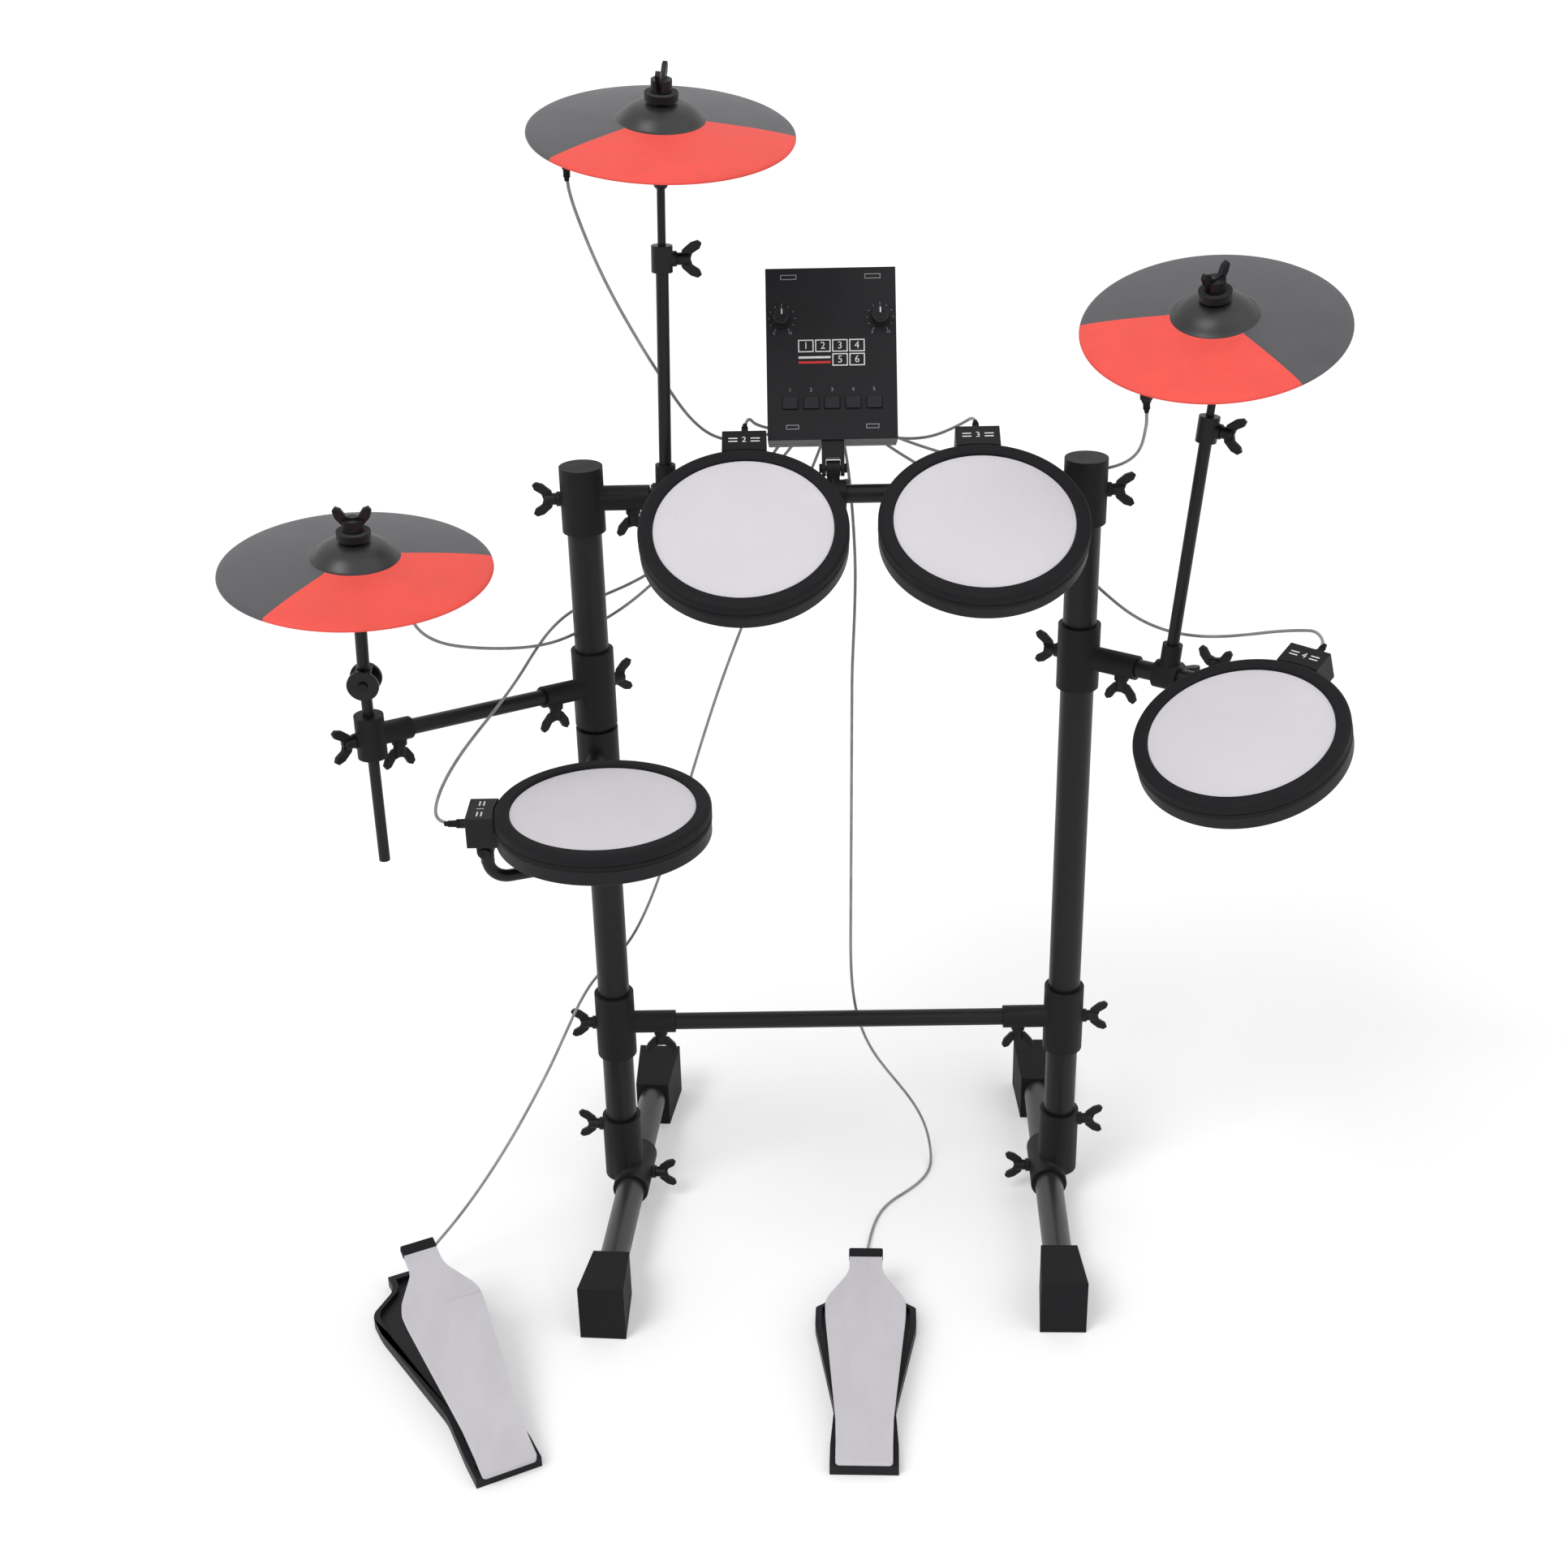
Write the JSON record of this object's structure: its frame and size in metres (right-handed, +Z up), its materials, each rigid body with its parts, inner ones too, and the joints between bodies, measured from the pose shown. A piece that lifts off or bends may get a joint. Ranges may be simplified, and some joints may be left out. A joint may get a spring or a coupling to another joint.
{
  "type": "electronic drum kit",
  "caption": "Electronic drum kit: round rubber pads and cymbal pads on a black tube rack with clamps, a sound module, a kick pedal and a hi-hat pedal, joined by cords.",
  "frame": {"origin": "on the floor, under the middle of the kit's box without its cords", "axes": "+X to the player's right, +Y away from the player, +Z up"},
  "size_m": [1.0582, 0.7025, 1.2857],
  "materials": {
    "rack_metal": "satin",
    "clamp_plastic": "satin",
    "bolt_metal": "satin",
    "boot_rubber": "matt",
    "pad_plastic": "matt",
    "rim_rubber": "matt",
    "head_rubber": "matt",
    "cymbal_rubber": "satin",
    "topper_black": "matt",
    "module_plastic": "satin",
    "knob_plastic": "satin",
    "button_rubber": "satin",
    "pedal_black": "satin",
    "board_grey": "satin",
    "pin_steel": "brushed",
    "cord_rubber": "matt"
  },
  "bodies": {
    "rack": {"left_post": "rack_metal", "right_post": "rack_metal", "cross_bars": "rack_metal", "top_clamps": "clamp_plastic", "lower_clamps": "clamp_plastic", "leg_clamps": "clamp_plastic", "leg_tubes": "rack_metal", "leg_boots": "boot_rubber", "bar_clamps": "clamp_plastic", "wing_bolts": "bolt_metal", "crash_tube": "rack_metal", "kick_base": "pedal_black", "hihat_pedal_base": "pedal_black", "pedal_pins": "pin_steel", "pad_cords": "cord_rubber", "pedal_cords": "cord_rubber"},
    "kick_board": {"kick_board": "board_grey"},
    "hihat_pedal_board": {"hihat_pedal_board": "board_grey"},
    "crash_rod": {"crash_rod": "rack_metal", "crash_topper": "topper_black"},
    "crash_cymbal": {"crash_cymbal": "cymbal_rubber"},
    "right_arm": {"right_arm": "rack_metal", "right_clamps": "clamp_plastic", "right_wing_bolts": "bolt_metal", "ride_tube": "rack_metal", "floor_rod": "rack_metal"},
    "ride_rod": {"ride_rod": "rack_metal", "ride_topper": "topper_black"},
    "ride_cymbal": {"ride_cymbal": "cymbal_rubber"},
    "floor_tom": {"floor_tom_shell": "pad_plastic", "floor_tom_rim": "rim_rubber", "floor_tom_head": "head_rubber"},
    "hihat_arm": {"hihat_clamps": "clamp_plastic", "hihat_arm": "rack_metal", "hihat_wing_bolts": "bolt_metal"},
    "hihat_rod": {"hihat_rod": "rack_metal"},
    "hihat_tilter": {"hihat_tilter": "rack_metal", "hihat_topper": "topper_black"},
    "hihat_cymbal": {"hihat_cymbal": "cymbal_rubber"},
    "snare_arm": {"snare_clamp": "clamp_plastic", "snare_wing_bolts": "bolt_metal", "snare_rod": "rack_metal"},
    "snare": {"snare_shell": "pad_plastic", "snare_rim": "rim_rubber", "snare_head": "head_rubber"},
    "left_tom": {"left_tom_shell": "pad_plastic", "left_tom_rim": "rim_rubber", "left_tom_head": "head_rubber"},
    "right_tom": {"right_tom_shell": "pad_plastic", "right_tom_rim": "rim_rubber", "right_tom_head": "head_rubber"},
    "module": {"module_case": "module_plastic", "module_cover": "module_plastic"},
    "left_knob": {"left_knob": "knob_plastic"},
    "right_knob": {"right_knob": "knob_plastic"},
    "module_button_1": {"module_button_1": "button_rubber"},
    "module_button_2": {"module_button_2": "button_rubber"},
    "module_button_3": {"module_button_3": "button_rubber"},
    "module_button_4": {"module_button_4": "button_rubber"},
    "module_button_5": {"module_button_5": "button_rubber"}
  },
  "joints": [
    {"name": "kick_press", "type": "hinge", "parent": "rack", "child": "kick_board", "pos_m": [0.05956, -0.31866, 0.012], "axis": [0.9994, -0.0349, 0], "range_deg": [-4.5, 0], "stiffness_Nm_per_rad": 8, "springref_deg": 8.59},
    {"name": "hihat_pedal_press", "type": "hinge", "parent": "rack", "child": "hihat_pedal_board", "pos_m": [-0.30114, -0.31783, 0.012], "axis": [0.8949, 0.4462, 0], "range_deg": [-13, 0], "stiffness_Nm_per_rad": 6, "springref_deg": 11.46},
    {"name": "crash_height", "type": "slide", "parent": "rack", "child": "crash_rod", "axis": [0.0259, 0.0388, 0.9989], "range_m": [-0.04, 0.04], "deforming": ["pad_cords"]},
    {"name": "crash_swing", "type": "hinge", "parent": "crash_rod", "child": "crash_cymbal", "pos_m": [-0.11298, 0.12441, 1.23879], "axis": [0.9981, 0.0056, -0.0609], "range_deg": [-7, 7], "stiffness_Nm_per_rad": 2, "deforming": ["pad_cords"]},
    {"name": "right_arm_swivel", "type": "hinge", "parent": "rack", "child": "right_arm", "pos_m": [0.2973, 0.12435, 0.68546], "axis": [0, 0, 1], "range_deg": [-15, 15], "deforming": ["pad_cords"]},
    {"name": "ride_height", "type": "slide", "parent": "right_arm", "child": "ride_rod", "axis": [0.0962, 0.0209, 0.9951], "range_m": [-0.012, 0.045], "deforming": ["pad_cords"]},
    {"name": "ride_swing", "type": "hinge", "parent": "ride_rod", "child": "ride_cymbal", "pos_m": [0.40115, 0.04774, 1.06415], "axis": [0.9942, -0.0161, 0.1064], "range_deg": [-7, 7], "stiffness_Nm_per_rad": 2, "deforming": ["pad_cords"]},
    {"name": "floor_tom_tilt", "type": "hinge", "parent": "right_arm", "child": "floor_tom", "pos_m": [0.50206, -0.02669, 0.7096], "axis": [0.7314, -0.682, 0], "range_deg": [-12, 10], "deforming": ["pad_cords"]},
    {"name": "hihat_arm_swivel", "type": "hinge", "parent": "rack", "child": "hihat_arm", "pos_m": [-0.2093, 0.12435, 0.659], "axis": [0, 0, 1], "range_deg": [-25, 10], "deforming": ["pad_cords"]},
    {"name": "hihat_height", "type": "slide", "parent": "hihat_arm", "child": "hihat_rod", "axis": [0, 0, 1], "range_m": [-0.012, 0.05], "deforming": ["pad_cords"]},
    {"name": "hihat_tilt", "type": "hinge", "parent": "hihat_rod", "child": "hihat_tilter", "pos_m": [-0.408, -0.06565, 0.75], "axis": [0.0022, 0.9965, 0.084], "range_deg": [-12, 12], "deforming": ["pad_cords"]},
    {"name": "hihat_swing", "type": "hinge", "parent": "hihat_tilter", "child": "hihat_cymbal", "pos_m": [-0.4008, -0.07708, 0.88533], "axis": [0.9986, 0.0022, -0.0529], "range_deg": [-7, 7], "stiffness_Nm_per_rad": 2, "deforming": ["pad_cords"]},
    {"name": "snare_arm_swivel", "type": "hinge", "parent": "rack", "child": "snare_arm", "pos_m": [-0.2093, 0.12435, 0.583], "axis": [0, 0, 1], "range_deg": [-8, 20], "deforming": ["pad_cords"]},
    {"name": "snare_tilt", "type": "hinge", "parent": "snare_arm", "child": "snare", "pos_m": [-0.29, -0.15665, 0.617], "axis": [0, 1, 0], "range_deg": [-10, 10], "deforming": ["pad_cords"]},
    {"name": "left_tom_tilt", "type": "hinge", "parent": "rack", "child": "left_tom", "pos_m": [-0.044, 0.12435, 0.892], "axis": [1, 0, 0], "range_deg": [-12, 10], "deforming": ["pad_cords"]},
    {"name": "right_tom_tilt", "type": "hinge", "parent": "rack", "child": "right_tom", "pos_m": [0.187, 0.12435, 0.892], "axis": [1, 0, 0], "range_deg": [-12, 10], "deforming": ["pad_cords"]},
    {"name": "module_tilt", "type": "hinge", "parent": "rack", "child": "module", "pos_m": [0.044, 0.12435, 0.892], "axis": [1, 0, 0], "range_deg": [-10, 10], "deforming": ["pad_cords", "pedal_cords"]},
    {"name": "left_knob_turn", "type": "hinge", "parent": "module", "child": "left_knob", "pos_m": [-0.005, 0.18219, 1.02975], "axis": [0, -0.891, 0.454], "range_deg": [-150, 150]},
    {"name": "right_knob_turn", "type": "hinge", "parent": "module", "child": "right_knob", "pos_m": [0.093, 0.18219, 1.02975], "axis": [0, -0.891, 0.454], "range_deg": [-150, 150]},
    {"name": "module_button_1_press", "type": "slide", "parent": "module", "child": "module_button_1", "axis": [0, -0.891, 0.454], "range_m": [-0.0015, 0], "stiffness_N_per_m": 800, "springref_m": 0.0005},
    {"name": "module_button_2_press", "type": "slide", "parent": "module", "child": "module_button_2", "axis": [0, -0.891, 0.454], "range_m": [-0.0015, 0], "stiffness_N_per_m": 800, "springref_m": 0.0005},
    {"name": "module_button_3_press", "type": "slide", "parent": "module", "child": "module_button_3", "axis": [0, -0.891, 0.454], "range_m": [-0.0015, 0], "stiffness_N_per_m": 800, "springref_m": 0.0005},
    {"name": "module_button_4_press", "type": "slide", "parent": "module", "child": "module_button_4", "axis": [0, -0.891, 0.454], "range_m": [-0.0015, 0], "stiffness_N_per_m": 800, "springref_m": 0.0005},
    {"name": "module_button_5_press", "type": "slide", "parent": "module", "child": "module_button_5", "axis": [0, -0.891, 0.454], "range_m": [-0.0015, 0], "stiffness_N_per_m": 800, "springref_m": 0.0005}
  ]
}
